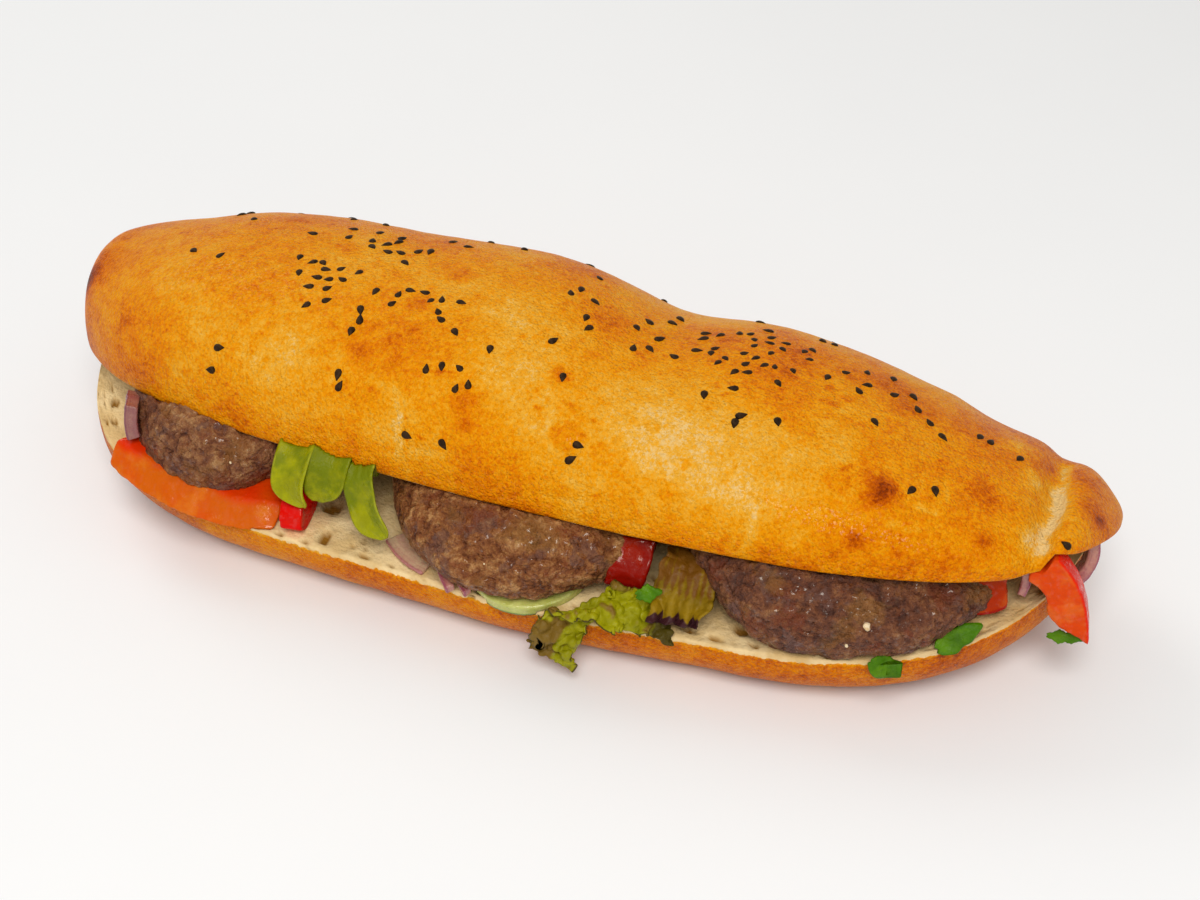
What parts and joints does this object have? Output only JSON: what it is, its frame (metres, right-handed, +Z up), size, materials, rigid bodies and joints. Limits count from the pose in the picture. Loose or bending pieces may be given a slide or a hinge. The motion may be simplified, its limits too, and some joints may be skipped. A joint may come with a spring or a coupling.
{
  "type": "half kofta sandwich",
  "caption": "Soft seeded roll slit along its front, filled with kofta patties, tomato, green and red lettuce, red onion, cucumber and parsley.",
  "frame": {"origin": "on the flat base of the roll, under the middle of the whole sandwich", "axes": "+X along the roll towards the end with the hanging tomato wedge, +Y to the uncut back, +Z up"},
  "size_m": [0.2802, 0.1045, 0.0687],
  "materials": {
    "crust": "baked golden crust, softly glossy, with pale open crumb in the cut",
    "kofta": "grilled coarse mince, brown with darker char, slightly greasy",
    "tomato": "wet glossy red skin over orange-red flesh",
    "lettuce": "fresh yellow-green leaf, satin",
    "red_lettuce": "frilled olive leaf with dark purple-brown edge, satin",
    "onion": "moist, pale pink with purple skin line",
    "cucumber": "moist pale green flesh with green rim",
    "parsley": "fresh dark green leaf, satin"
  },
  "bodies": {
    "root": {"bread_roll": "crust", "kofta_patty_left": "kofta", "kofta_patty_middle": "kofta", "kofta_patty_right": "kofta", "tomato_slice_left": "tomato", "tomato_wedge_left": "tomato", "tomato_wedge_middle": "tomato", "tomato_wedge_right": "tomato", "tomato_wedge_end": "tomato", "lettuce_petal_left": "lettuce", "lettuce_petal_right": "lettuce", "lettuce_strip": "lettuce", "red_lettuce_frill": "red_lettuce", "red_lettuce_fold": "red_lettuce", "onion_left": "onion", "onion_petal_middle": "onion", "onion_strip_middle_1": "onion", "onion_strip_middle_2": "onion", "onion_right": "onion", "onion_end": "onion", "cucumber_slice": "cucumber", "parsley_middle": "parsley", "parsley_right": "parsley", "parsley_on_crust": "parsley", "parsley_end": "parsley"}
  },
  "joints": []
}
